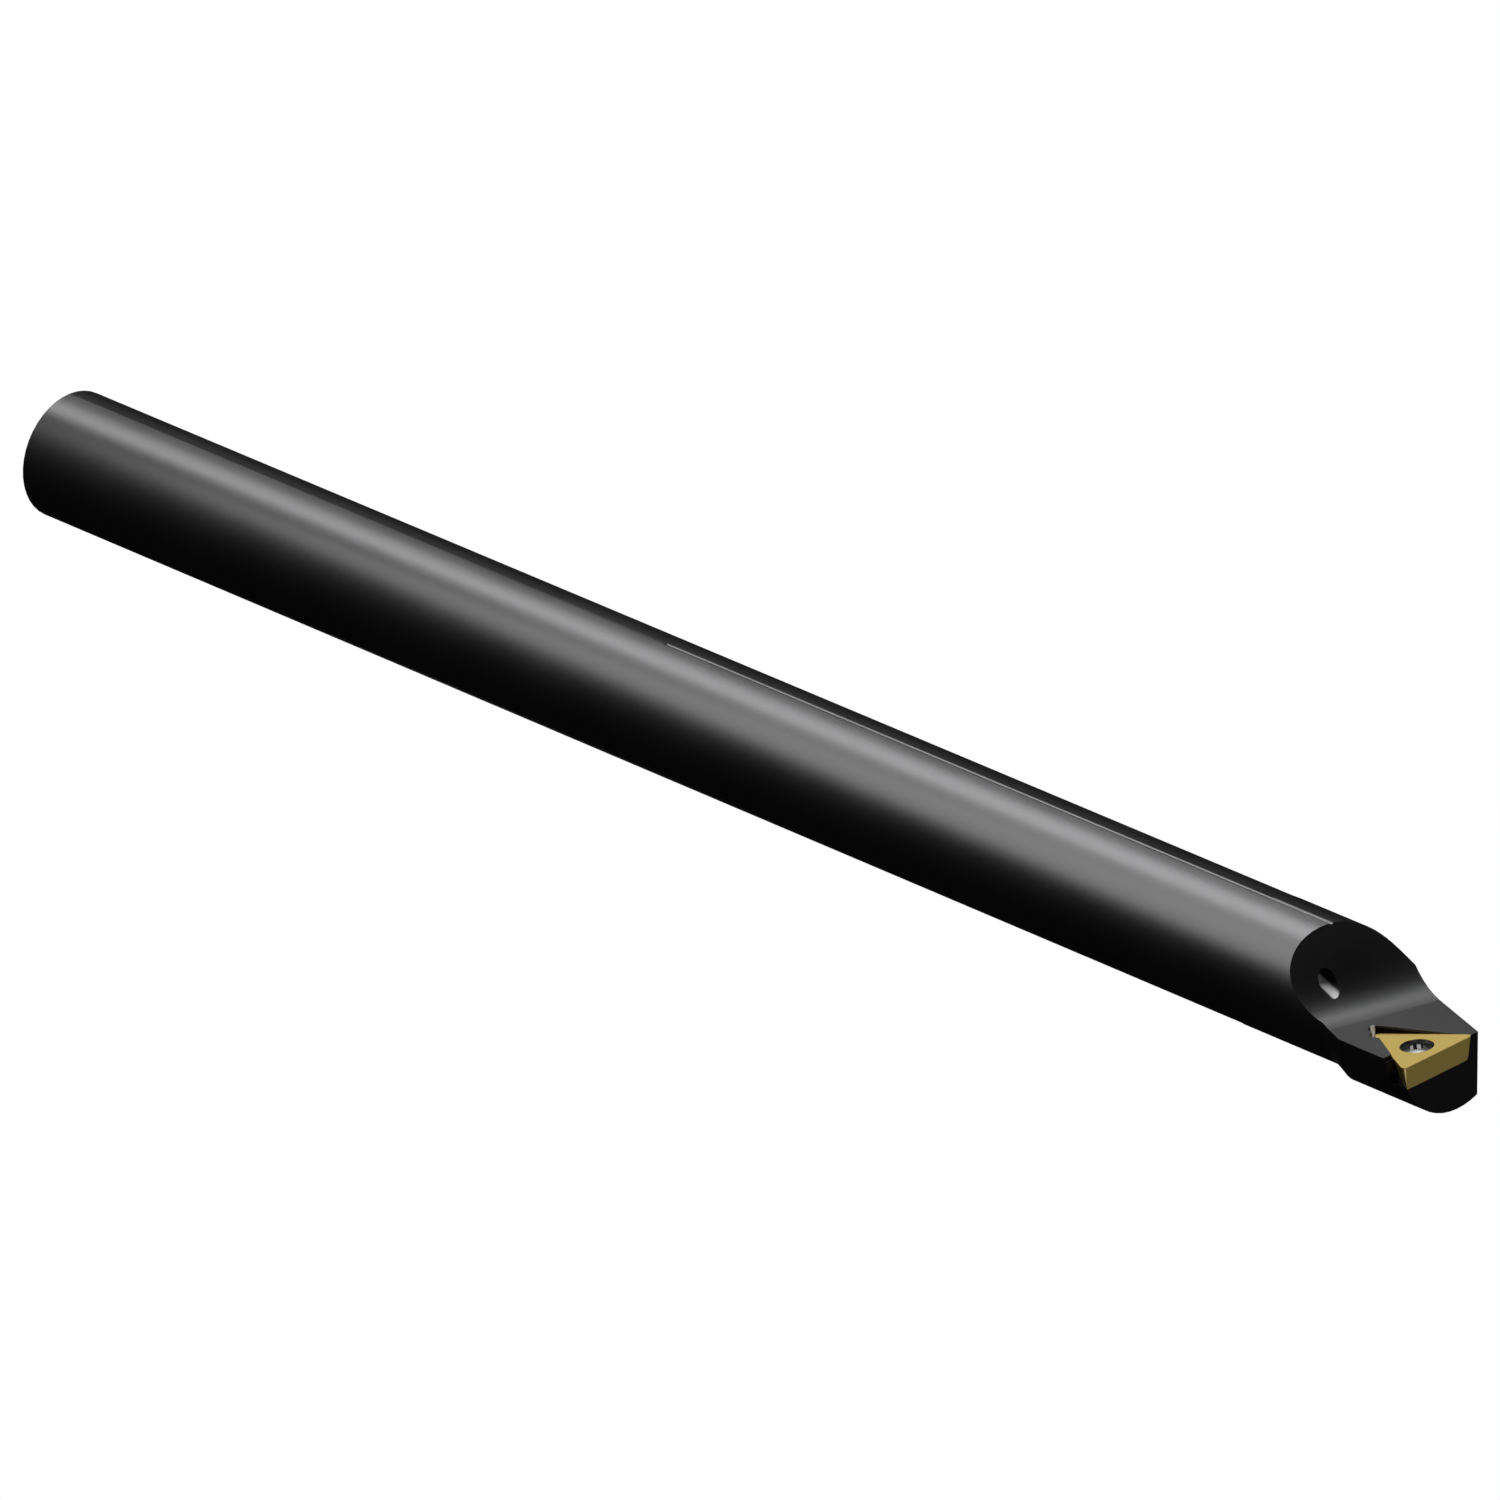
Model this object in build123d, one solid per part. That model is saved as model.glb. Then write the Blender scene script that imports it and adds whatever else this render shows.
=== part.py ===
"""Boring bar with a screw-held triangular insert, in millimetres.

+X runs along the bar from its rear face to the cutting end, +Z is up, and the
cutting tip stands out towards -Y at the height of the bar's axis.
"""
import os
from math import cos, radians, sin, sqrt, tan

from build123d import *

# ---- driving dimensions -------------------------------------------------

# Bar: a ground shank, then the slightly thicker turned neck
SHANK_DIAMETER = 12.7
NECK_STEP = 0.04               # how far the neck stands proud of the ground shank
NECK_LENGTH = 12.7             # end of the grinding to the start of the cone

# Setting groove along the top
GROOVE_START = 81.1            # from the rear face
GROOVE_DEPTH = 0.09            # below the ground shank
GROOVE_WIDTH = 0.42            # at the surface of the ground shank

# Head: a cone opens the neck out to a larger, offset barrel
CONE_SLOPE = 21.0              # degrees, against the axis
BARREL_RADIUS = 7.12
BARREL_SHIFT_Y = -0.53         # barrel centre from the bar's axis
BARREL_SHIFT_Z = 0.29

# Cutting tip, to the outermost points of its rounded nose
FUNCTIONAL_LENGTH = 185.1      # rear face to the tip
UNGROUND_LENGTH = 24.6         # tip back to the end of the ground shank
FUNCTIONAL_WIDTH = 7.9         # axis to the tip
FRONT_SETBACK = 0.52           # front face behind the tip

# Chip pocket: a barrel-shaped scoop that runs out into a flat
FLAT_HEIGHT = 0.10             # of the flat, over the axis
FLAT_TILT = 1.0                # degrees, rising away from the tip
SCOOP_RADIUS = 8.33
SCOOP_SWING = 14.5             # degrees, the scoop's far end further forward
SCOOP_TO_TIP = 8.8             # tip back to where the scoop meets the flat, on the axis

# Clearance face on the side away from the tip
RELIEF_ANGLE = 18.2            # degrees, against the axis
RELIEF_REACH = 2.32            # axis to the edge between relief and front face

# Insert: triangular, 11 degree positive, flat topped
INSCRIBED_CIRCLE = 5.556
INSERT_THICKNESS = 2.38
INSERT_CLEARANCE = 11.0        # degrees
NOSE_RADIUS = 0.4              # at the top, it narrows downwards with the clearance
LEAST_NOSE_RADIUS = 0.02       # where the narrowing stops
INSERT_BORE = 2.5
COUNTERSINK_DIAMETER = 3.24
COUNTERSINK_HALF_ANGLE = 30.0  # degrees

# How the insert lies in the head
LEAD_ANGLE = 0.7               # degrees, front edge against square
AXIAL_RAKE = 6.1               # degrees, top falls towards the rear
RADIAL_RAKE = 1.8              # degrees, top falls towards the tip

# Insert pocket
WALL_END_TO_TIP = 2.8          # side wall stops this far behind the tip
STEP_TO_TIP = 3.05             # its top steps down this far behind the tip
STEP_DEPTH = 0.4               # of the step, below the flat
RELIEF_HOLE_RADIUS = 0.65      # the two reliefs for the insert's rear corner
RELIEF_HOLE_DEPTH = 0.25       # below the seat
FIRST_RELIEF_SIDE = -0.28      # first hole from the insert's middle line
FIRST_RELIEF_INSET = 0.62      # and inside its sharp rear corner
RELIEF_HOLE_PITCH = 1.25       # to the second hole, along the side wall
RELIEF_HOLE_TURN = -130.0      # degrees, against the insert's front edge

# Insert screw, M2.2
SCREW_DIAMETER = 2.2
SCREW_LENGTH = 5.2             # from the top of the crown
SCREW_CHAMFER = 0.22
SCREW_HEAD_DROP = 0.18         # rim of the head below the insert's top
SCREW_CROWN = 0.16             # rise of the head's crown over its rim
SOCKET_SIZE = 1.95             # six-lobe socket across its lobes
SOCKET_VALLEY = 1.42           # across its valleys
SOCKET_LOBE_RADIUS = 0.2
SOCKET_DEPTH = 0.85

# Coolant
CHANNEL_DIAMETER = 4.5
OUTLET_DIAMETER = 1.85
OUTLET_SWING = 19.8            # degrees, the jet's aim towards the tip
OUTLET_DROP = 2.8              # degrees, the jet's fall towards the tip
OUTLET_HEIGHT = 2.35           # of the outlet's axis, over the bar's axis at the channel
OUTLET_TO_TIP = 22.1           # tip back to where the outlet crosses over the bar's axis

# Clearances
SEAT_CLEARANCE = 0.01          # insert to pocket walls
SCREW_CLEARANCE = 0.02         # screw to the holes it passes
OVERCUT = 2.0                  # cutters run this far past the surfaces

# ---- derived sizes and places --------------------------------------------

SHANK_RADIUS = SHANK_DIAMETER / 2
NECK_RADIUS = SHANK_RADIUS + NECK_STEP
GROUND_LENGTH = FUNCTIONAL_LENGTH - UNGROUND_LENGTH
CONE_START = GROUND_LENGTH + NECK_LENGTH
FRONT_FACE_X = FUNCTIONAL_LENGTH - FRONT_SETBACK
OUTLET_START = FUNCTIONAL_LENGTH - OUTLET_TO_TIP
CHANNEL_LENGTH = OUTLET_START + OUTLET_DIAMETER / 2

INSERT_SIDE = INSCRIBED_CIRCLE * sqrt(3)
SIDE_WALL_LENGTH = INSERT_SIDE - WALL_END_TO_TIP / cos(radians(30))
TAPER = tan(radians(INSERT_CLEARANCE))

# The nose's circle touches both edges, so the sharp corner lies outside it
SHARP_TO_NOSE = (sqrt(3) - 1) * NOSE_RADIUS
SHARP_CORNER = Vector(FUNCTIONAL_LENGTH, -(FUNCTIONAL_WIDTH + SHARP_TO_NOSE), 0)

# The insert's frame: origin on the sharp corner, x along the front edge,
# y rearwards, z square to the insert's top
TOP_NORMAL = Vector(-tan(radians(AXIAL_RAKE)), -tan(radians(RADIAL_RAKE)), 1).normalized()
EDGE_X, EDGE_Y = -sin(radians(LEAD_ANGLE)), cos(radians(LEAD_ANGLE))
EDGE_Z = -(TOP_NORMAL.X * EDGE_X + TOP_NORMAL.Y * EDGE_Y) / TOP_NORMAL.Z
INSERT_TOP = Plane(origin=SHARP_CORNER, x_dir=Vector(EDGE_X, EDGE_Y, EDGE_Z), z_dir=TOP_NORMAL)
CENTRE_X, CENTRE_Y = INSERT_SIDE / 2, INSCRIBED_CIRCLE / 2
INSERT_CENTRE = INSERT_TOP.from_local_coords(Vector(CENTRE_X, CENTRE_Y, 0))
SEAT = Plane(
    origin=INSERT_TOP.from_local_coords(Vector(CENTRE_X, CENTRE_Y, -INSERT_THICKNESS)),
    x_dir=INSERT_TOP.x_dir,
    z_dir=TOP_NORMAL,
)

FLAT = Plane(
    origin=(FUNCTIONAL_LENGTH - SCOOP_TO_TIP, 0, FLAT_HEIGHT),
    x_dir=(1, 0, 0),
    z_dir=(0, -sin(radians(FLAT_TILT)), cos(radians(FLAT_TILT))),
)


# ---- the bar ---------------------------------------------------------------

def rod(radius, start, end, shift_y=0.0, shift_z=0.0):
    """A round rod along the bar, from start to end."""
    profile = Plane((start, shift_y, shift_z), z_dir=(1, 0, 0)) * Circle(radius)
    return extrude(profile, amount=end - start)


def bar_blank():
    """Ground shank, neck and cone, and the offset barrel that trims the cone."""
    cone_length = FRONT_FACE_X - CONE_START
    cone_end_radius = NECK_RADIUS + cone_length * tan(radians(CONE_SLOPE))
    outline = Polyline(
        (GROUND_LENGTH, 0),
        (GROUND_LENGTH, NECK_RADIUS),
        (CONE_START, NECK_RADIUS),
        (FRONT_FACE_X, cone_end_radius),
        (FRONT_FACE_X, 0),
        close=True,
    )
    turned = revolve(make_face(outline), Axis.X)
    barrel = rod(BARREL_RADIUS, GROUND_LENGTH, FRONT_FACE_X, BARREL_SHIFT_Y, BARREL_SHIFT_Z)
    return rod(SHANK_RADIUS, 0, GROUND_LENGTH) + (turned & barrel)


def setting_groove():
    """Shallow round-bottomed groove along the top, out through the chip pocket."""
    radius = (GROOVE_WIDTH**2 / 4 + GROOVE_DEPTH**2) / (2 * GROOVE_DEPTH)
    height = SHANK_RADIUS - GROOVE_DEPTH + radius
    return rod(radius, GROOVE_START, FUNCTIONAL_LENGTH - SCOOP_TO_TIP, 0, height)


def chip_pocket():
    """Scoop swung about the vertical, and all that lies over the flat in front of it."""
    half_width = BARREL_RADIUS + OVERCUT
    swing = Rot(0, 0, -SCOOP_SWING)
    scoop_plane = FLAT * Pos(0, 0, SCOOP_RADIUS) * swing
    scoop = scoop_plane * Rot(90, 0, 0) * Cylinder(SCOOP_RADIUS, 4 * half_width)
    over_flat = scoop_plane * Pos(SCOOP_TO_TIP, 0, 0) * Box(
        2 * SCOOP_TO_TIP, 4 * half_width, 2 * SCOOP_RADIUS
    )
    return scoop + over_flat


def far_relief():
    """Upright clearance face on the side away from the tip."""
    reach = 2 * FRONT_FACE_X - 2 * CONE_START
    face = Plane((FRONT_FACE_X, RELIEF_REACH, 0)) * Rot(0, 0, -RELIEF_ANGLE)
    return face * Pos(0, reach / 2, 0) * Box(2 * reach, reach, 4 * BARREL_RADIUS)


def insert_pocket():
    """Seat with two walls that lean as the insert does; the side wall stops short."""
    height = INSERT_THICKNESS + OVERCUT
    inner = INSCRIBED_CIRCLE / 2 - INSERT_THICKNESS * TAPER + SEAT_CLEARANCE
    rear_corner = 2 * inner
    open_front = 2 * INSERT_SIDE
    triangle = Pos(0, rear_corner - open_front) * RegularPolygon(open_front, 3, rotation=90)
    rounded = fillet(triangle.vertices(), LEAST_NOSE_RADIUS)
    walls = extrude(rounded, amount=height, taper=-INSERT_CLEARANCE)
    wall_end = Vector(0, INSCRIBED_CIRCLE) + Vector(SIDE_WALL_LENGTH, 0).rotate(Axis.Z, -120)
    above_seat = Pos(wall_end.X, 0, height / 2)
    room = 4 * INSERT_SIDE
    inside = Box(room, room, height, align=(Align.MIN, Align.CENTER, Align.CENTER))
    opening = Pos(0, wall_end.Y) * Box(room, room, height, align=(Align.MAX, Align.MAX, Align.CENTER))
    return SEAT * ((walls & (above_seat * inside)) + above_seat * opening)


def wall_step():
    """Lowered last stretch of the side wall."""
    height = STEP_DEPTH + OVERCUT
    start = FLAT * Pos(SCOOP_TO_TIP - STEP_TO_TIP, -FUNCTIONAL_WIDTH, -STEP_DEPTH)
    return start * Box(
        2 * STEP_TO_TIP, INSCRIBED_CIRCLE, height, align=(Align.MIN, Align.CENTER, Align.MIN)
    )


def corner_relief():
    """Two overlapping drilled reliefs at the pocket's rear corner."""
    height = INSERT_THICKNESS + OVERCUT + RELIEF_HOLE_DEPTH
    hole = Pos(0, 0, height / 2 - RELIEF_HOLE_DEPTH) * Cylinder(RELIEF_HOLE_RADIUS, height)
    first = Vector(FIRST_RELIEF_SIDE, INSCRIBED_CIRCLE - FIRST_RELIEF_INSET)
    second = first + Vector(RELIEF_HOLE_PITCH, 0).rotate(Axis.Z, RELIEF_HOLE_TURN)
    return SEAT * (Pos(first) * hole + Pos(second) * hole)


def screw_hole():
    """Threaded hole, square to the seat and through to the underside."""
    length = 2 * BARREL_RADIUS
    return SEAT * Pos(0, 0, -length / 2) * Cylinder(SCREW_DIAMETER / 2 + SCREW_CLEARANCE, length)


def coolant_way():
    """Channel along the axis and the outlet that leaves it through the scoop."""
    channel = rod(CHANNEL_DIAMETER / 2, 0, CHANNEL_LENGTH)
    aim = Vector(
        cos(radians(OUTLET_SWING)), -sin(radians(OUTLET_SWING)), -tan(radians(OUTLET_DROP))
    )
    start = Plane((OUTLET_START, 0, OUTLET_HEIGHT), z_dir=aim)
    outlet = extrude(start * Circle(OUTLET_DIAMETER / 2), amount=SCOOP_RADIUS + NECK_LENGTH)
    return channel + outlet


def make_bar():
    bar = bar_blank()
    bar -= setting_groove()
    bar -= chip_pocket()
    bar -= far_relief()
    bar -= insert_pocket()
    bar -= wall_step()
    bar -= corner_relief()
    bar -= screw_hole()
    bar -= coolant_way()
    return bar


# ---- insert and screw --------------------------------------------------------

def countersink_depth(diameter):
    """Depth at which the 60 degree cone of this mouth has narrowed to the bore."""
    return (diameter - INSERT_BORE) / 2 / tan(radians(COUNTERSINK_HALF_ANGLE))


def insert_outline(depth):
    """The insert's rounded triangle at this depth under its top."""
    inner_radius = INSCRIBED_CIRCLE / 2 - depth * TAPER
    nose = max(NOSE_RADIUS - depth * TAPER, LEAST_NOSE_RADIUS)
    triangle = RegularPolygon(2 * inner_radius, 3, rotation=90)
    return Pos(0, 0, INSERT_THICKNESS - depth) * fillet(triangle.vertices(), nose)


def make_insert():
    """Rounded triangle that narrows downwards, with a countersunk hole."""
    nose_depth = (NOSE_RADIUS - LEAST_NOSE_RADIUS) / TAPER
    depths = sorted({0.0, min(nose_depth, INSERT_THICKNESS), INSERT_THICKNESS})
    body = loft([insert_outline(depth) for depth in depths], ruled=True)
    sink = countersink_depth(COUNTERSINK_DIAMETER)
    body -= Cylinder(INSERT_BORE / 2, 3 * INSERT_THICKNESS)
    body -= Pos(0, 0, INSERT_THICKNESS - sink / 2) * Cone(
        INSERT_BORE / 2, COUNTERSINK_DIAMETER / 2, sink
    )
    return SEAT * body


def six_lobe():
    """Star-shaped socket: six round lobes about a round middle."""
    star = Circle(SOCKET_VALLEY / 2)
    for lobe in range(6):
        reach = SOCKET_SIZE / 2 - SOCKET_LOBE_RADIUS
        star += Rot(0, 0, 60 * lobe) * Pos(reach, 0, 0) * Circle(SOCKET_LOBE_RADIUS)
    return star


def make_screw():
    """Countersunk screw with a crowned head and a six-lobe socket."""
    slope = tan(radians(COUNTERSINK_HALF_ANGLE))
    rim_height = INSERT_THICKNESS - SCREW_HEAD_DROP
    rim_radius = COUNTERSINK_DIAMETER / 2 - SCREW_HEAD_DROP * slope - SCREW_CLEARANCE
    thread_radius = SCREW_DIAMETER / 2
    cone_foot = rim_height - (rim_radius - thread_radius) / slope
    crown_height = rim_height + SCREW_CROWN
    crown_radius = (rim_radius**2 + SCREW_CROWN**2) / (2 * SCREW_CROWN)
    crown_middle = crown_height - crown_radius + sqrt(crown_radius**2 - rim_radius**2 / 4)
    end = crown_height - SCREW_LENGTH
    end_radius = thread_radius - SCREW_CHAMFER
    with BuildPart() as screw:
        with BuildSketch(Plane.XZ):
            with BuildLine():
                Line((0, end), (end_radius, end))
                Line((end_radius, end), (thread_radius, end + SCREW_CHAMFER))
                Line((thread_radius, end + SCREW_CHAMFER), (thread_radius, cone_foot))
                Line((thread_radius, cone_foot), (rim_radius, rim_height))
                ThreePointArc(
                    (rim_radius, rim_height), (rim_radius / 2, crown_middle), (0, crown_height)
                )
                Line((0, crown_height), (0, end))
            make_face()
        revolve(axis=Axis.Z)
    socket = Pos(0, 0, crown_height - SOCKET_DEPTH) * extrude(six_lobe(), amount=2 * SOCKET_DEPTH)
    return SEAT * (screw.part - socket)


def main():
    os.makedirs("parts", exist_ok=True)
    nodes = {"bar": make_bar(), "insert": make_insert(), "insert_screw": make_screw()}
    for name, shape in nodes.items():
        export_step(shape, os.path.join("parts", name + ".step"))
        print(f"{name}: volume {shape.volume:.2f} mm3, {len(shape.solids())} solid(s)")


main()
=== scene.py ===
# %% [markdown]
# # A boring bar and how it gets its looks
# A boring bar is a slim steel tool that reaches into a hole on a lathe. Its shape comes
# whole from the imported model: the bar, a small triangular insert and the insert's screw.
# What is added here is finish, the fine thread in the screw's hole, a floor, light and a
# camera. Everything is in metres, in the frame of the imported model.

from collections import namedtuple

import bpy
from mathutils import Matrix, Vector


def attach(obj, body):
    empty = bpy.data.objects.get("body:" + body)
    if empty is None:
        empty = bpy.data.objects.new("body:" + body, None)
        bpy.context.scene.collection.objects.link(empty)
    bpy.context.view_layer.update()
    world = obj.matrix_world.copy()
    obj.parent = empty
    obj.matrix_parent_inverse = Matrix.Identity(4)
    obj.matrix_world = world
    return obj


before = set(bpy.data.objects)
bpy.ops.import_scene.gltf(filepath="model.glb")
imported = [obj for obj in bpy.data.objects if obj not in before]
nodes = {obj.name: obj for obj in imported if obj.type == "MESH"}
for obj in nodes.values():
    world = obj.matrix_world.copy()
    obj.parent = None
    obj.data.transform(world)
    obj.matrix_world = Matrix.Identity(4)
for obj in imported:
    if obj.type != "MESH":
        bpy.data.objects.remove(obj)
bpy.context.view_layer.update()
print("nodes:", sorted(nodes))

MM = 0.001


def ready(*tools):
    print("ready:", ", ".join(tool.__name__ for tool in tools))


# %% [markdown]
# ## Camera
# The bar is long and thin. A camera close to it would make the near end look far bigger
# than the other, so it stands well back with a long lens, and the bar's sides stay nearly
# parallel. It looks at the middle of the bar from the side of the cutting end, 25 degrees
# up, and stands half a pixel to the left and up, so that the bar lies true in the frame.

# %% Camera
VIEW_TARGET = Vector((92.4, 0.0, -1.0)) * MM
VIEW_BACK = Vector((0.6409, -0.6409, 0.4226)).normalized()
VIEW_DISTANCE = 2.5834
LENS = 659.9
SENSOR = 36.0
FAR_LIMIT = 20.0
FRAME_PIXELS = 1500
HALF_PIXEL = 0.5 * SENSOR / FRAME_PIXELS / LENS * VIEW_DISTANCE


def look_along(back):
    """Rotation of a camera or lamp whose own Z is this direction, with no roll."""
    return back.to_track_quat("Z", "Y")


camera_data = bpy.data.cameras.new("camera")
camera_data.lens = LENS
camera_data.sensor_width = SENSOR
camera_data.clip_end = FAR_LIMIT
camera = bpy.data.objects.new("camera", camera_data)
camera.rotation_euler = look_along(VIEW_BACK).to_euler()
view_turn = camera.rotation_euler.to_matrix()
view_right, view_up = view_turn.col[0], view_turn.col[1]
view_shift = (view_up - view_right) * HALF_PIXEL
camera.location = VIEW_TARGET + VIEW_BACK * VIEW_DISTANCE + view_shift
bpy.context.collection.objects.link(camera)
bpy.context.scene.camera = camera
bpy.context.scene.view_settings.view_transform = "Standard"
print("camera at", [round(value, 4) for value in camera.location])

# %% [markdown]
# ## Shader maths as Python
# A material is a tree of nodes, and a mask in it is a sum. Node by node, such a sum is
# hard to read. This small class wraps one socket, and its operators add the Math nodes,
# so `1 - mask * 0.5` can be written as it is.


# %% A socket with operators
class Wire:
    def __init__(self, tree, socket):
        self.tree = tree
        self.socket = socket

    def math(self, operation, other=0.0):
        return math_node(self.tree, operation, self, other)

    def __add__(self, other):
        return self.math("ADD", other)

    def __sub__(self, other):
        return self.math("SUBTRACT", other)

    def __mul__(self, other):
        return self.math("MULTIPLY", other)

    def __rsub__(self, other):
        return math_node(self.tree, "SUBTRACT", other, self)

    __radd__ = __add__
    __rmul__ = __mul__


def add_node(tree, kind, settings=None, inputs=None, output=0):
    """One node: its settings first, then the values or wires of its sockets."""
    node = tree.nodes.new(kind)
    for name, value in (settings or {}).items():
        setattr(node, name, value)
    for name, value in (inputs or {}).items():
        if isinstance(value, Wire):
            tree.links.new(value.socket, node.inputs[name])
        else:
            node.inputs[name].default_value = value
    return Wire(tree, node.outputs[output])


def math_node(tree, operation, first, second):
    return add_node(tree, "ShaderNodeMath", {"operation": operation}, {0: first, 1: second})


ready(Wire, add_node, math_node)

# %% [markdown]
# ## Floor
# The tool is shown on white. The floor is a small pale sheet below and behind the bar.
# More lamps would make it white, but they would also wash out the bar. So the camera and
# the steel's reflections see the sheet as a white glow, and only a small share of it is
# grey paper, which takes the lamps' light and the bar's shadow.

# %% Rays, outputs and new materials
def rays(tree, *kinds):
    """1 for rays of these kinds, such as those that come straight from the camera."""
    path = tree.nodes.new("ShaderNodeLightPath")
    seen = Wire(tree, path.outputs[kinds[0]])
    for kind in kinds[1:]:
        seen = seen + Wire(tree, path.outputs[kind])
    return seen


def wire_to_output(tree, kind, surface):
    output = tree.nodes.new(kind)
    tree.links.new(surface.socket, output.inputs["Surface"])


def new_material(name, viewport_colour):
    material = bpy.data.materials.new(name)
    material.use_nodes = True
    material.diffuse_color = (*viewport_colour, 1.0)
    material.node_tree.nodes.clear()
    return material, material.node_tree


ready(rays, wire_to_output, new_material)

# %% Floor paper
FLOOR_SHADE_SHARE = 0.07
FLOOR_WHITE = 1.06
PAPER_GREY = (0.4, 0.4, 0.4, 1.0)
WHITE = (1.0, 1.0, 1.0, 1.0)


def floor_paper():
    material, tree = new_material("floor_paper", WHITE[:3])
    seen = rays(tree, "Is Camera Ray", "Is Glossy Ray", "Is Transmission Ray")
    paper = add_node(tree, "ShaderNodeBsdfDiffuse", {}, {"Color": PAPER_GREY})
    glow = {"Color": WHITE, "Strength": FLOOR_WHITE}
    white = add_node(tree, "ShaderNodeEmission", {}, glow)
    share = seen * (1 - FLOOR_SHADE_SHARE)
    mixed = add_node(tree, "ShaderNodeMixShader", {}, {0: share, 1: paper, 2: white})
    wire_to_output(tree, "ShaderNodeOutputMaterial", mixed)
    return material


ready(floor_paper)

# %% Floor sheet
FLOOR_DROP = 0.25
FLOOR_HALF_DEPTH = 0.18
FLOOR_HALF_WIDTH = 0.085


def make_floor():
    """A level sheet below the bar, centred where the camera's line of sight meets it."""
    level_view = Vector((VIEW_BACK.x, VIEW_BACK.y, 0))
    away = -level_view.normalized()
    side = Vector((-away.y, away.x, 0))
    centre = VIEW_TARGET + away * FLOOR_DROP * level_view.length / VIEW_BACK.z
    centre.z = VIEW_TARGET.z - FLOOR_DROP
    corners = [
        centre + side * across * FLOOR_HALF_WIDTH + away * along * FLOOR_HALF_DEPTH
        for across, along in ((-1, -1), (1, -1), (1, 1), (-1, 1))
    ]
    mesh = bpy.data.meshes.new("floor")
    mesh.from_pydata(corners, [], [(0, 1, 2, 3)])
    floor = bpy.data.objects.new("floor", mesh)
    floor.data.materials.append(floor_paper())
    bpy.context.collection.objects.link(floor)
    return floor


floor = make_floor()
print("floor:", [[round(value, 3) for value in vertex.co] for vertex in floor.data.vertices])

# %% [markdown]
# ## Surroundings
# Polished metal shows its surroundings more than its own colour. The studio is dark, with
# a soft glow overhead, and that is what the steel reflects between the lamps. A white
# room would turn its black sides grey. Only the camera, directly or through glass, sees
# plain white instead.

# %% Surroundings
WORLD_DIM = 0.01
WORLD_GLOW = 0.03
GLOW_STARTS_AT = 0.2
GLOW_FULL_AT = 0.9


def make_world():
    world = bpy.data.worlds.new("studio")
    bpy.context.scene.world = world
    world.use_nodes = True
    tree = world.node_tree
    tree.nodes.clear()
    seen = rays(tree, "Is Camera Ray", "Is Transmission Ray")
    direction = add_node(tree, "ShaderNodeTexCoord", output="Generated")
    height = add_node(tree, "ShaderNodeSeparateXYZ", {}, {0: direction}, output="Z")
    span = {0: height, 1: GLOW_STARTS_AT, 2: GLOW_FULL_AT, 3: WORLD_DIM, 4: WORLD_GLOW}
    glow = add_node(tree, "ShaderNodeMapRange", {}, span)
    room = add_node(tree, "ShaderNodeBackground", {}, {"Color": WHITE, "Strength": glow})
    white = add_node(tree, "ShaderNodeBackground", {}, {"Color": WHITE, "Strength": 1.0})
    mixed = add_node(tree, "ShaderNodeMixShader", {}, {0: seen, 1: room, 2: white})
    wire_to_output(tree, "ShaderNodeOutputWorld", mixed)
    return world


print("world:", make_world().name)

# %% [markdown]
# ## Lamps
# A round bar mirrors a strip of the studio, so it is soft boxes, not small bright lamps,
# that draw the light and dark bands which show that it is round. Each one is named for
# what it does:
#
# - `back_box`, big, behind and above, draws the bright band along the bar.
# - `sheen_box` widens that band with a soft grey, more so towards the cutting end.
# - `end_box` faces the cutting end, and lights the insert's sides and the pale painted
#   highlights on the walls of the holes. `top_box` adds to the insert's top.
# - `far_box`, `back_view_box` and `under_box` draw soft bands on the parts that the first
#   two miss, which show from behind and from below.
# - `nose_box` lights only the insert, and `screw_box` only the screw, because light that
#   suits a small bright part would spoil the black steel beside it.
#
# A box whose light is wanted only as a reflection gives no matt light, and a box that
# only has to brighten a matt colour isn't reflected.

# %% Soft boxes
AREA_LAMP_FACTOR = 4.0  # watts for each unit of radiance and square metre of lamp


def soft_box(name, lit_x, direction, distance, width, height, radiance):
    """A lamp that faces the bar's axis at this X, as wide, high and bright as told."""
    back = Vector(direction).normalized()
    data = bpy.data.lights.new(name, "AREA")
    data.shape = "RECTANGLE"
    data.size = width
    data.size_y = height
    data.energy = AREA_LAMP_FACTOR * radiance * width * height
    lamp = bpy.data.objects.new(name, data)
    lamp.location = Vector((lit_x, 0, 0)) + back * distance
    lamp.rotation_euler = look_along(back).to_euler()
    bpy.context.collection.objects.link(lamp)
    print(name, "at", [round(value, 2) for value in lamp.location])
    return lamp


def gloss_box(*settings, only=None):
    """A soft box that only shows in reflections, on one node's mesh where it is named."""
    lamp = soft_box(*settings)
    lamp.visible_diffuse = False
    if only:
        lit = bpy.data.collections.new("lit_by_" + lamp.name)
        lit.objects.link(nodes[only])
        lamp.light_linking.receiver_collection = lit


def matt_box(*settings):
    """A soft box that brightens matt colours and isn't reflected."""
    soft_box(*settings).visible_glossy = False


ready(soft_box, gloss_box, matt_box)

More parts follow.
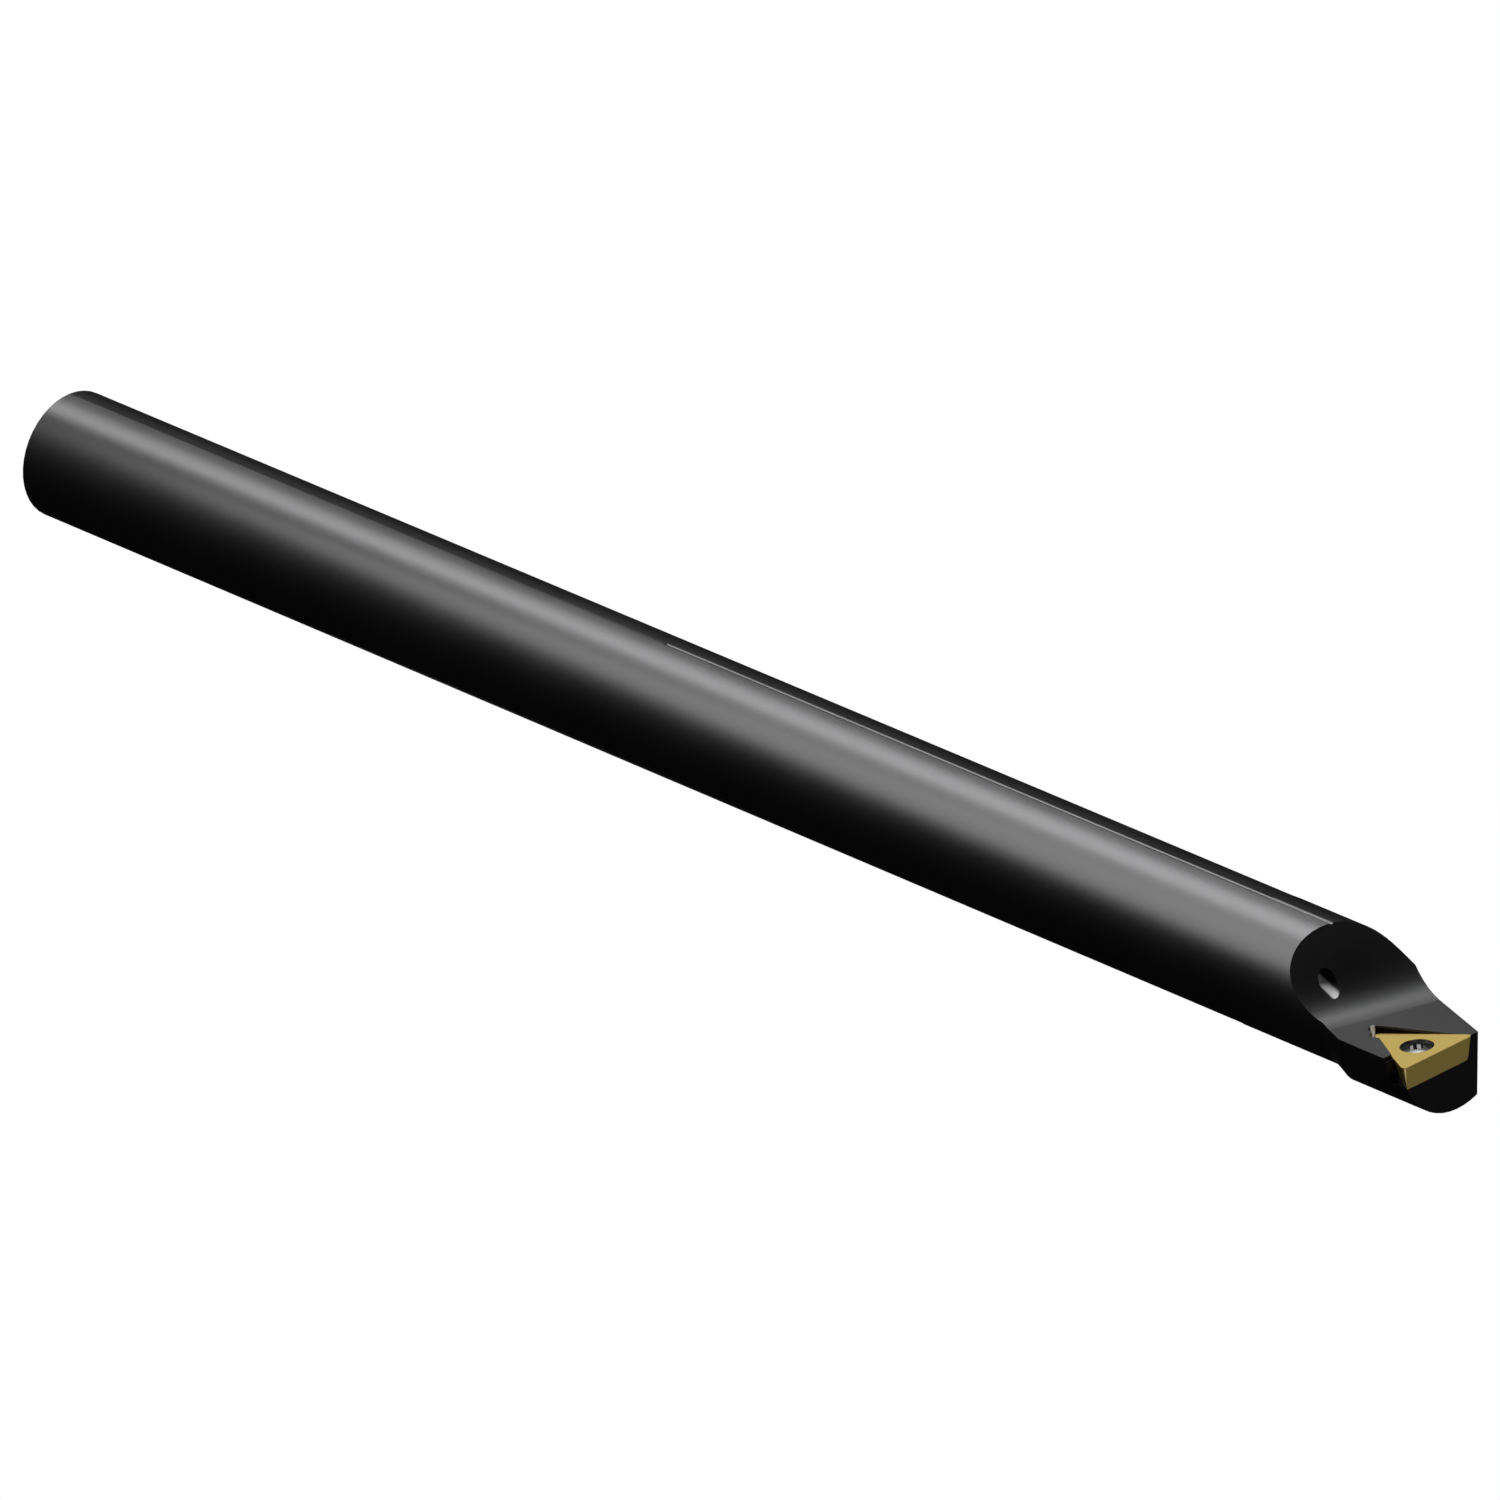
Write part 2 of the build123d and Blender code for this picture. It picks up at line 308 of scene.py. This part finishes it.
# %% The nine lamps
# name, X that it faces, direction, distance, width, height, radiance
soft_box("back_box", -0.048, (-0.465, 0.269, 0.844), 2.1, 1.42, 0.665, 6.6)
gloss_box("sheen_box", 0.345, (-0.792, -0.359, 0.494), 0.422, 0.247, 0.235, 2.0)
gloss_box("nose_box", 0.18, (0.49, -0.49, -0.72), 1.0, 0.3, 0.3, 8.0, only="insert")
gloss_box("screw_box", 0.18, (-0.58, 0.43, 0.69), 1.5, 0.4, 0.4, 3.8, only="insert_screw")
matt_box("end_box", 0.18, (0.90, -0.25, 0.35), 1.5, 0.35, 0.35, 8.0)
gloss_box("far_box", 0.17, (0.76, 0.64, 0.08), 1.5, 0.4, 0.4, 1.4)
gloss_box("back_view_box", 0.09, (0.68, -0.50, 0.53), 1.5, 0.5, 0.5, 2.5)
gloss_box("under_box", 0.10, (0.1, 0.4, -0.9), 1.2, 0.6, 0.6, 3.0)
matt_box("top_box", 0.10, (0.2, 0.2, 0.96), 1.2, 0.8, 0.8, 3.0)

# %% [markdown]
# ## Tools for the finishes
# Each finish is a Principled shader. A noise in the metal's own coordinates makes it a
# little uneven, as a real skin is. A texture drawn on the surface would need the mesh
# unwrapped, and noise in space doesn't.

# %% Shader, noise and colours
def finish_material(tree, **sockets):
    """A Principled BSDF with these sockets, wired to the output."""
    inputs = {name.replace("_", " "): value for name, value in sockets.items()}
    surface = add_node(tree, "ShaderNodeBsdfPrincipled", {}, inputs)
    wire_to_output(tree, "ShaderNodeOutputMaterial", surface)


def object_place(tree):
    return add_node(tree, "ShaderNodeTexCoord", output="Object")


def noise(tree, place, scale, detail=2.0):
    inputs = {"Vector": place, "Scale": scale, "Detail": detail}
    return add_node(tree, "ShaderNodeTexNoise", {}, inputs)


def bump(tree, height, strength, distance):
    inputs = {"Strength": strength, "Distance": distance, "Height": height}
    return add_node(tree, "ShaderNodeBump", {}, inputs)


def mix_colours(tree, factor, first, second):
    """The first colour where the factor is 0, the second where it is 1."""
    first, second = (
        colour if isinstance(colour, Wire) else (*colour, 1.0) for colour in (first, second)
    )
    inputs = {"Factor": factor, 6: first, 7: second}
    return add_node(tree, "ShaderNodeMix", {"data_type": "RGBA"}, inputs, output=2)


ready(finish_material, object_place, noise, bump, mix_colours)

# %% [markdown]
# ## Masks by place
# Some places on the bar get painted light: a highlight painted pale and matt on one side of
# the outlet's and relief holes' walls, and shade painted near black in the deep pocket under
# the insert. The bar is one mesh, so no edge of it marks such a place, and a mask finds it
# by position instead: how far a point is from a hole's axis, how far along it, and to which
# side.

# %% Distances
def vector_math(tree, operation, first, second, output=0):
    """A Vector Math node on two vectors, each a wire or plain numbers."""
    inputs = {0: first, 1: second if isinstance(second, Wire) else tuple(second)}
    return add_node(tree, "ShaderNodeVectorMath", {"operation": operation}, inputs, output)


def from_axis(tree, place, middle, aim):
    """How far a place is from the line through this middle along this direction."""
    offset = vector_math(tree, "SUBTRACT", place, middle)
    across = vector_math(tree, "CROSS_PRODUCT", offset, aim)
    return vector_math(tree, "LENGTH", across, (0, 0, 0), output="Value")


def along_axis(tree, place, middle, aim):
    """How far a place is past this middle, measured along this direction."""
    offset = vector_math(tree, "SUBTRACT", place, middle)
    return vector_math(tree, "DOT_PRODUCT", offset, aim, output="Value")


def ease(tree, value, low, high):
    """0 below the low value, 1 above the high one, smooth between."""
    settings = {"interpolation_type": "SMOOTHSTEP"}
    return add_node(tree, "ShaderNodeMapRange", settings, {0: value, 1: low, 2: high})


ready(vector_math, from_axis, along_axis, ease)

# %% Masks
WALL_MARGIN = 0.03 * MM
BAND_FULL_AT = 0.975

# A round hole goes as far as its reach both ways from its middle.
Hole = namedtuple("Hole", "middle aim radius reach")


def wall_band(tree, place, hole, side, starts_at):
    """1 on the part of a hole's wall that lies to this side of its axis.

    It fades in from one share of the radius to another, measured towards that side."""
    square_side = (side - hole.aim * side.dot(hole.aim)).normalized()
    distance = from_axis(tree, place, hole.middle, hole.aim)
    depth = along_axis(tree, place, hole.middle, hole.aim)
    on_wall = distance.math("LESS_THAN", hole.radius + WALL_MARGIN)
    in_reach = depth.math("ABSOLUTE").math("LESS_THAN", hole.reach)
    toward_side = along_axis(tree, place, hole.middle, square_side)
    band = ease(tree, toward_side, starts_at * hole.radius, BAND_FULL_AT * hole.radius)
    return on_wall * in_reach * band


def inside_box(tree, place, middle, half):
    """1 inside a box with this middle and these half sizes."""
    offset = vector_math(tree, "SUBTRACT", place, middle)
    scaled = vector_math(tree, "DIVIDE", offset, half)
    share = vector_math(tree, "ABSOLUTE", scaled, (0, 0, 0))
    parts = tree.nodes.new("ShaderNodeSeparateXYZ")
    tree.links.new(share.socket, parts.inputs[0])
    x, y, z = (Wire(tree, socket) for socket in parts.outputs)
    return x.math("MAXIMUM", y).math("MAXIMUM", z).math("LESS_THAN", 1.0)


ready(wall_band, inside_box)

# %% [markdown]
# ## Blackened steel
# The bar is turned and ground steel with a black oxide finish: a thin dark skin that
# still shows the metal's gloss. It could be a black paint with a clear coat, but paint
# hides the metal, so it is a metal with a dark colour and a fairly wide gloss. Clean
# metal flares white where it is seen at a slant. The skin doesn't, so its edge tint is
# dark. Fine rings run round it from turning, so its bump is a noise stretched around the
# bar.
#
# One side of the coolant outlet's wall and of the two relief holes' walls is painted pale
# and matt as a highlight, which fades into the black skin. The pocket under the insert is
# painted near black as shade, the darkest place on the bar.

# %% Painted highlights and painted shade
OUTLET = Hole(
    middle=Vector((167.3, -1.55, 2.13)) * MM,
    aim=Vector((0.9398, -0.3383, -0.0488)),
    radius=0.925 * MM,
    reach=7.0 * MM,
)
# Side of the outlet's wall where a highlight is painted, and how strong it is.
OUTLET_HIGHLIGHT_SIDE = Vector((0.03, 0.22, -0.976))
OUTLET_BAND_FROM = 0.76
OUTLET_HIGHLIGHT_SHARE = 0.8

SCREW_MIDDLE = Vector((182.76, -3.27, -4.62)) * MM
SCREW_AIM = Vector((-0.1062, -0.0312, 0.9939))
RELIEF_MIDDLES = (Vector((177.47, -3.70, -1.59)) * MM, Vector((178.44, -4.50, -1.56)) * MM)
RELIEF_RADIUS = 0.65 * MM
RELIEF_REACH = 2.0 * MM
RELIEF_HOLES = [
    Hole(middle, SCREW_AIM, RELIEF_RADIUS, RELIEF_REACH) for middle in RELIEF_MIDDLES
]
# Side of the relief holes' walls where a highlight is painted.
RELIEF_HIGHLIGHT_SIDE = Vector((-0.92, 0.39, 0.0))
RELIEF_BAND_FROM = 0.90

POCKET_MIDDLE = Vector((180.3, 0.6, -2.6)) * MM
POCKET_HALF = Vector((4.1, 5.0, 2.48)) * MM


def painted_highlight_walls(tree, place):
    """1 on the sides of the drilled walls that get a painted highlight, less in the outlet.
    """
    outlet = wall_band(tree, place, OUTLET, OUTLET_HIGHLIGHT_SIDE, OUTLET_BAND_FROM)
    painted_highlight = outlet * OUTLET_HIGHLIGHT_SHARE
    for hole in RELIEF_HOLES:
        painted_highlight = painted_highlight + wall_band(tree, place, hole, RELIEF_HIGHLIGHT_SIDE, RELIEF_BAND_FROM)
    return painted_highlight.math("MINIMUM", 1.0)


print("bare walls in", 1 + len(RELIEF_HOLES), "holes, and one dark pocket")

# %% Blackened steel
BLACK_STEEL_DARK = (0.095, 0.095, 0.097)
BLACK_STEEL_LIGHT = (0.11, 0.11, 0.112)
# Pale grey painted on one side of the hole walls as a highlight:
PAINTED_HIGHLIGHT_GREY = (0.85, 0.85, 0.85)
# Near black painted in the pocket under the insert as shade:
POCKET_PAINTED_SHADE = (0.012, 0.012, 0.012)
EDGE_TINT = (0.3, 0.3, 0.3, 1.0)
CLOUD_SCALE = 120.0
CLOUD_DETAIL = 3.0
STEEL_ROUGHNESS = 0.355
STEEL_ROUGHNESS_CHANGE = 0.05
RING_STRETCH = (1.0, 0.004, 0.004)
RING_SCALE = 9000.0
RING_STRENGTH = 0.2
RING_HEIGHT = 0.02 * MM


def black_steel():
    material, tree = new_material("black_steel", BLACK_STEEL_DARK)
    place = object_place(tree)
    cloud = noise(tree, place, CLOUD_SCALE, CLOUD_DETAIL)
    stretch = {"Vector": place, "Scale": RING_STRETCH}
    rings = noise(tree, add_node(tree, "ShaderNodeMapping", {}, stretch), RING_SCALE)
    # Painted highlight: pale matt grey on one side of the outlet's and relief holes' walls.
    painted_highlight = painted_highlight_walls(tree, place)
    # Painted shade: the pocket under the insert is coloured near black.
    pocket = inside_box(tree, place, POCKET_MIDDLE, POCKET_HALF)
    colour = mix_colours(tree, cloud, BLACK_STEEL_DARK, BLACK_STEEL_LIGHT)
    colour = mix_colours(tree, pocket, colour, POCKET_PAINTED_SHADE)
    colour = mix_colours(tree, painted_highlight, colour, PAINTED_HIGHLIGHT_GREY)
    finish_material(
        tree,
        Base_Color=colour,
        Metallic=1.0 - painted_highlight,
        Roughness=STEEL_ROUGHNESS + cloud * STEEL_ROUGHNESS_CHANGE,
        Specular_Tint=EDGE_TINT,
        Normal=bump(tree, rings, RING_STRENGTH, RING_HEIGHT),
    )
    return material


ready(black_steel)

# %% Onto the bar
def give_material(node_name, material):
    """Put this material in every material slot of the node's mesh."""
    mesh = nodes[node_name].data
    if not mesh.materials:
        mesh.materials.append(material)
    for index in range(len(mesh.materials)):
        mesh.materials[index] = material
    print(node_name, "is", material.name)


BLACK_STEEL = black_steel()
give_material("bar", BLACK_STEEL)

# %% [markdown]
# ## Gold coated carbide
# The insert is sintered carbide with a thin gold-coloured coating. A gold metal would mirror
# the dark studio and turn brown, while the real coating keeps its colour, so this one is
# mostly a matt colour with a satin gloss. The grains under the coating make the gloss and
# the bump a little uneven. The countersunk hole is coloured near black.

# %% Gold coated carbide
GOLD_COATING = (0.60, 0.44, 0.105)
GOLD_COATING_PALE = (0.64, 0.47, 0.12)
# Near black for the countersunk hole round the screw.
COUNTERSINK_DARK = (0.015, 0.015, 0.02)
COUNTERSINK_RADIUS = 1.61 * MM
GRAIN_SCALE = 6000.0
GRAIN_DETAIL = 3.0
GRAIN_STRENGTH = 0.1
GRAIN_HEIGHT = 0.005 * MM
COATING_METAL = 0.15
COATING_ROUGHNESS = 0.34
COATING_ROUGHNESS_CHANGE = 0.08


def coated_carbide():
    material, tree = new_material("coated_carbide", GOLD_COATING)
    place = object_place(tree)
    grain = noise(tree, place, GRAIN_SCALE, GRAIN_DETAIL)
    distance = from_axis(tree, place, SCREW_MIDDLE, SCREW_AIM)
    bore = distance.math("LESS_THAN", COUNTERSINK_RADIUS)
    colour = mix_colours(tree, grain, GOLD_COATING, GOLD_COATING_PALE)
    colour = mix_colours(tree, bore, colour, COUNTERSINK_DARK)
    finish_material(
        tree,
        Base_Color=colour,
        Metallic=COATING_METAL,
        Roughness=COATING_ROUGHNESS + grain * COATING_ROUGHNESS_CHANGE,
        Normal=bump(tree, grain, GRAIN_STRENGTH, GRAIN_HEIGHT),
    )
    return material


give_material("insert", coated_carbide())

# %% [markdown]
# ## Bright screw steel
# The screw is plain hardened steel, cleanly turned, so it is smoother than everything around
# it. Its six-lobe socket is painted near black inside as shade, and the ribs between the
# lobes are painted pale and partly matt as highlights. The ribs stand nearer to the screw's
# axis than the lobes, so two distances from the axis tell the three apart: rib, lobe and
# head.

# %% Bright screw steel
SCREW_STEEL = (0.13, 0.13, 0.135)
SCREW_STEEL_PALE = (0.155, 0.155, 0.16)
# Near black painted in the socket as shade, and pale grey painted on its ribs as a
# highlight:
SOCKET_PAINTED_SHADE = (0.03, 0.03, 0.04)
RIB_PAINTED_HIGHLIGHT = (0.85, 0.85, 0.85)
RIB_RADIUS = 0.77 * MM
RIB_MATT_SHARE = 0.7
SOCKET_RADIUS = 1.0 * MM
SOCKET_TOP = 0.10 * MM
SOCKET_BOTTOM = 1.2 * MM
SCREW_CLOUD_SCALE = 1500.0
SCREW_ROUGHNESS = 0.20
SCREW_ROUGHNESS_CHANGE = 0.04


def socket_depths(tree, place):
    """1 between the socket's top and bottom, both measured down from the head's top."""
    vertices = nodes["insert_screw"].data.vertices
    head_top = max((vertex.co - SCREW_MIDDLE).dot(SCREW_AIM) for vertex in vertices)
    height = along_axis(tree, place, SCREW_MIDDLE, SCREW_AIM)
    below_top = height.math("LESS_THAN", head_top - SOCKET_TOP)
    above_bottom = height.math("GREATER_THAN", head_top - SOCKET_BOTTOM)
    return below_top * above_bottom


def screw_steel():
    material, tree = new_material("screw_steel", SCREW_STEEL)
    place = object_place(tree)
    cloud = noise(tree, place, SCREW_CLOUD_SCALE)
    distance = from_axis(tree, place, SCREW_MIDDLE, SCREW_AIM)
    sunk = socket_depths(tree, place)
    # Painted shade: the socket is coloured near black.
    socket = sunk * distance.math("LESS_THAN", SOCKET_RADIUS)
    # Painted highlight: the ribs are coloured pale and partly matt.
    rib = sunk * distance.math("LESS_THAN", RIB_RADIUS)
    colour = mix_colours(tree, cloud, SCREW_STEEL, SCREW_STEEL_PALE)
    colour = mix_colours(tree, socket, colour, SOCKET_PAINTED_SHADE)
    colour = mix_colours(tree, rib, colour, RIB_PAINTED_HIGHLIGHT)
    finish_material(
        tree,
        Base_Color=colour,
        Metallic=1.0 - rib * RIB_MATT_SHARE,
        Roughness=SCREW_ROUGHNESS + cloud * SCREW_ROUGHNESS_CHANGE,
    )
    return material


give_material("insert_screw", screw_steel())

# %% [markdown]
# ## Thread of the screw's hole
# The insert's screw bites into a threaded hole that goes right through to the underside,
# where the thread's last turn shows below the screw's end. A thread could be a bump in
# the wall's finish, but its ridge stands out, so it is a real shape. It climbs a helix,
# and Geometry Nodes sweep a small triangle along a spiral whose numbers are the thread's
# own: turns, radius and rise. Reverse makes it climb the right-handed way.

# %% Tree of the thread
SPIRAL_POINTS_PER_TURN = 64
RIDGE_SIDES = 3


def thread_tree(material):
    tree = bpy.data.node_groups.new("thread_ridge", "GeometryNodeTree")
    sockets = tree.interface
    sockets.new_socket("Geometry", in_out="INPUT", socket_type="NodeSocketGeometry")
    for name in ("Turns", "Radius", "Rise", "Ridge"):
        sockets.new_socket(name, in_out="INPUT", socket_type="NodeSocketFloat")
    sockets.new_socket("Geometry", in_out="OUTPUT", socket_type="NodeSocketGeometry")
    given = tree.nodes.new("NodeGroupInput")
    turns, radius, rise, ridge = (Wire(tree, given.outputs[i]) for i in range(1, 5))
    spiral = {
        "Resolution": SPIRAL_POINTS_PER_TURN,
        "Rotations": turns,
        "Start Radius": radius,
        "End Radius": radius,
        "Height": rise,
        "Reverse": True,
    }
    path = add_node(tree, "GeometryNodeCurveSpiral", {}, spiral)
    circle = {"Resolution": RIDGE_SIDES, "Radius": ridge}
    triangle = add_node(tree, "GeometryNodeCurvePrimitiveCircle", {}, circle)
    sweep = {"Curve": path, "Profile Curve": triangle, "Fill Caps": True}
    swept = add_node(tree, "GeometryNodeCurveToMesh", {}, sweep)
    plain = add_node(tree, "GeometryNodeRealizeInstances", {}, {"Geometry": swept})
    paint = {"Geometry": plain, "Material": material}
    painted = add_node(tree, "GeometryNodeSetMaterial", {}, paint)
    result = tree.nodes.new("NodeGroupOutput")
    tree.links.new(painted.socket, result.inputs[0])
    return tree


ridge_tree = thread_tree(BLACK_STEEL)
print("thread tree:", len(ridge_tree.nodes), "nodes")


# %% From tree to plain mesh
def grow(name, tree, values):
    """The plain mesh that a Geometry Nodes tree makes from these named values."""
    seed = bpy.data.objects.new(name + "_seed", bpy.data.meshes.new(name + "_seed"))
    bpy.context.collection.objects.link(seed)
    modifier = seed.modifiers.new("grow", "NODES")
    modifier.node_group = tree
    for item in tree.interface.items_tree:
        if item.in_out == "INPUT" and item.name in values:
            modifier[item.identifier] = values[item.name]
    depsgraph = bpy.context.evaluated_depsgraph_get()
    mesh = bpy.data.meshes.new_from_object(seed.evaluated_get(depsgraph))
    mesh.name = name
    seed.modifiers.remove(modifier)
    bpy.data.objects.remove(seed)
    print(name, "grew", len(mesh.polygons), "faces")
    return mesh


ready(grow)

# %% Thread of the screw's hole
THREAD_PITCH = 0.40 * MM
THREAD_TURNS = 1.27
THREAD_MIDDLE_RADIUS = 1.075 * MM
THREAD_RIDGE = 0.10 * MM
THREAD_LOW_END = -1.23 * MM

thread_sizes = {
    "Turns": THREAD_TURNS,
    "Radius": THREAD_MIDDLE_RADIUS,
    "Rise": THREAD_PITCH * THREAD_TURNS,
    "Ridge": THREAD_RIDGE,
}
thread_mesh = grow("screw_hole_thread", ridge_tree, thread_sizes)
thread_turn = Vector((0, 0, 1)).rotation_difference(SCREW_AIM).to_matrix().to_4x4()
thread_start = Matrix.Translation(SCREW_MIDDLE + SCREW_AIM * THREAD_LOW_END)
thread_mesh.transform(thread_start @ thread_turn)
thread = bpy.data.objects.new("screw_hole_thread", thread_mesh)
bpy.context.collection.objects.link(thread)
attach(thread, "root")
print("thread starts at", [round(value, 5) for value in thread_start.translation])
